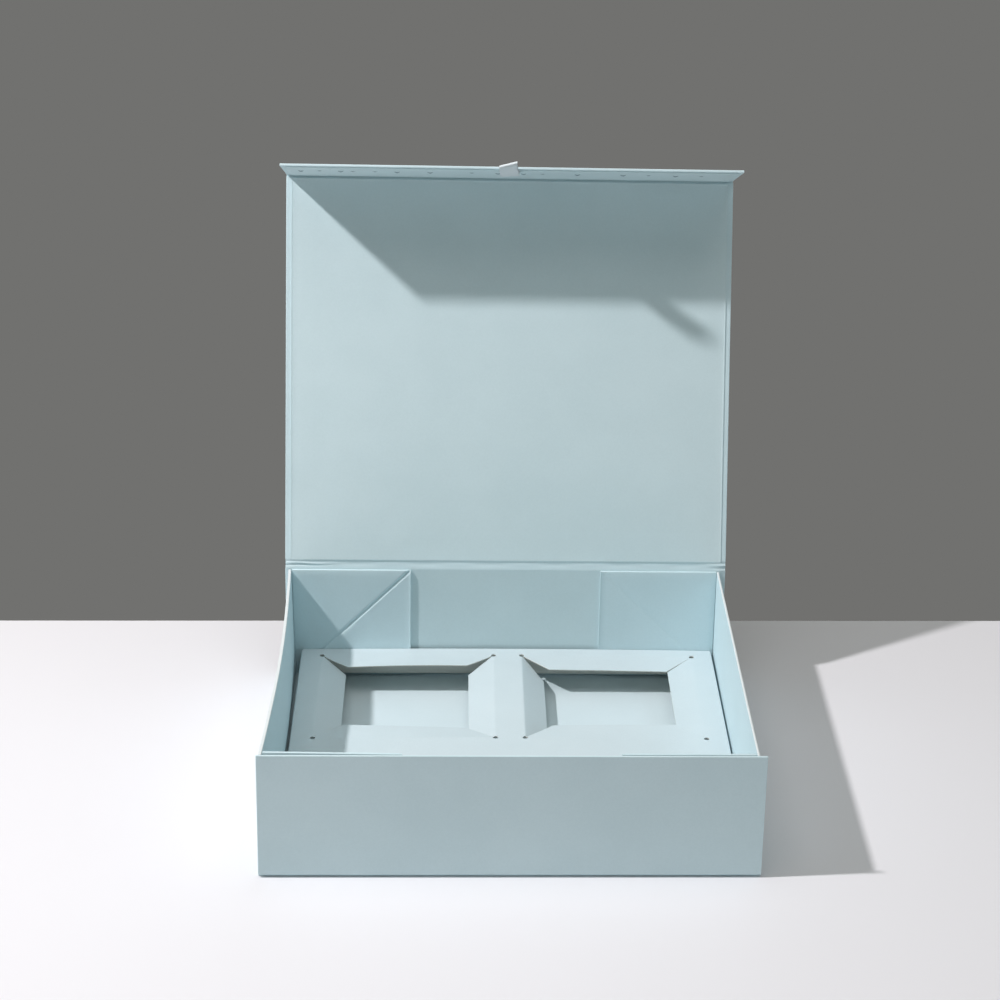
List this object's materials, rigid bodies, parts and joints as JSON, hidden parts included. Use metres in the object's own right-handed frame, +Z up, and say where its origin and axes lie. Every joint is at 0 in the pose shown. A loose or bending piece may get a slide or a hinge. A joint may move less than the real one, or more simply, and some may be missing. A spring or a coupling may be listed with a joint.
{
  "type": "folding gift box",
  "caption": "Folding rigid gift box: lid with magnetic closing flap, creased tray gussets, ribbon pull and a lift-out card platform with windows.",
  "frame": {"origin": "centre of the underside of the base board", "axes": "+Z up, +X to the right seen from the front, -Y towards the front board; the lid hinges at +Y"},
  "size_m": [0.3, 0.3344, 0.3661],
  "materials": {
    "wrap_paper": "grey board wrapped in matte pale blue paper",
    "lining_paper": "matte pale blue lining paper",
    "platform_card": "die-cut card, pale blue face and grey back",
    "ribbon": "plain woven ribbon",
    "magnet": "plated disc magnet",
    "keeper_steel": "plain steel disc"
  },
  "bodies": {
    "tray": {"base_board": "wrap_paper", "front_board": "wrap_paper", "back_board": "wrap_paper", "front_base_hinge": "wrap_paper", "back_base_hinge": "wrap_paper", "lid_hinge_paper": "wrap_paper", "front_lining": "lining_paper", "back_lining": "lining_paper", "floor_lining": "lining_paper", "left_wall": "wrap_paper", "right_wall": "wrap_paper", "left_wall_hinge": "wrap_paper", "right_wall_hinge": "wrap_paper", "left_keeper": "keeper_steel", "right_keeper": "keeper_steel", "front_left_gusset_glued": "wrap_paper", "front_left_gusset_folding": "wrap_paper", "front_right_gusset_glued": "wrap_paper", "front_right_gusset_folding": "wrap_paper", "back_left_gusset_glued": "wrap_paper", "back_left_gusset_folding": "wrap_paper", "back_right_gusset_glued": "wrap_paper", "back_right_gusset_folding": "wrap_paper"},
    "lid": {"lid_board": "wrap_paper", "lid_lining": "lining_paper", "flap_hinge_paper": "wrap_paper"},
    "closing_flap": {"closing_flap_board": "wrap_paper", "closing_flap_lining": "lining_paper", "left_magnet": "magnet", "right_magnet": "magnet", "ribbon_pull": "ribbon"},
    "platform": {"platform_top": "platform_card", "platform_front_skirt": "platform_card", "platform_back_skirt": "platform_card", "platform_left_skirt": "platform_card", "platform_right_skirt": "platform_card"},
    "left_window_flap_left": {"left_window_flap_left": "platform_card"},
    "left_window_flap_right": {"left_window_flap_right": "platform_card"},
    "left_window_flap_front": {"left_window_flap_front": "platform_card"},
    "left_window_flap_back": {"left_window_flap_back": "platform_card"},
    "right_window_flap_left": {"right_window_flap_left": "platform_card"},
    "right_window_flap_right": {"right_window_flap_right": "platform_card"},
    "right_window_flap_front": {"right_window_flap_front": "platform_card"},
    "right_window_flap_back": {"right_window_flap_back": "platform_card"}
  },
  "joints": [
    {"name": "lid_hinge", "type": "hinge", "parent": "tray", "child": "lid", "pos_m": [0, 0.131, 0.08415], "axis": [-1, 0, 0], "range_deg": [-105.9, 74.1], "deforming": ["lid_hinge_paper"]},
    {"name": "closing_flap_hinge", "type": "hinge", "parent": "lid", "child": "closing_flap", "pos_m": [0, 0.20345, 0.33848], "axis": [-1, 0, 0], "range_deg": [-4.9, 85.1], "deforming": ["flap_hinge_paper"]},
    {"name": "platform_lift", "type": "slide", "parent": "tray", "child": "platform", "axis": [0, 0, 1], "range_m": [0, 0.09]},
    {"name": "left_window_flap_left_crease", "type": "hinge", "parent": "platform", "child": "left_window_flap_left", "pos_m": [-0.125, 0.05835, 0.0219], "axis": [0, 1, 0], "range_deg": [-15, 75]},
    {"name": "left_window_flap_right_crease", "type": "hinge", "parent": "platform", "child": "left_window_flap_right", "pos_m": [-0.008, 0.05835, 0.0219], "axis": [0, -1, 0], "range_deg": [-16, 74]},
    {"name": "left_window_flap_front_crease", "type": "hinge", "parent": "platform", "child": "left_window_flap_front", "pos_m": [-0.0665, 0.0001, 0.0219], "axis": [-1, 0, 0], "range_deg": [-6, 84]},
    {"name": "left_window_flap_back_crease", "type": "hinge", "parent": "platform", "child": "left_window_flap_back", "pos_m": [-0.0665, 0.1166, 0.0219], "axis": [1, 0, 0], "range_deg": [-1, 89]},
    {"name": "right_window_flap_left_crease", "type": "hinge", "parent": "platform", "child": "right_window_flap_left", "pos_m": [0.0111, 0.05835, 0.0219], "axis": [0, 1, 0], "range_deg": [-31, 59]},
    {"name": "right_window_flap_right_crease", "type": "hinge", "parent": "platform", "child": "right_window_flap_right", "pos_m": [0.1281, 0.05835, 0.0219], "axis": [0, -1, 0], "range_deg": [-4, 86]},
    {"name": "right_window_flap_front_crease", "type": "hinge", "parent": "platform", "child": "right_window_flap_front", "pos_m": [0.0696, 0.0001, 0.0219], "axis": [-1, 0, 0], "range_deg": [-2, 88]},
    {"name": "right_window_flap_back_crease", "type": "hinge", "parent": "platform", "child": "right_window_flap_back", "pos_m": [0.0696, 0.1166, 0.0219], "axis": [1, 0, 0], "range_deg": [-5, 85]}
  ]
}
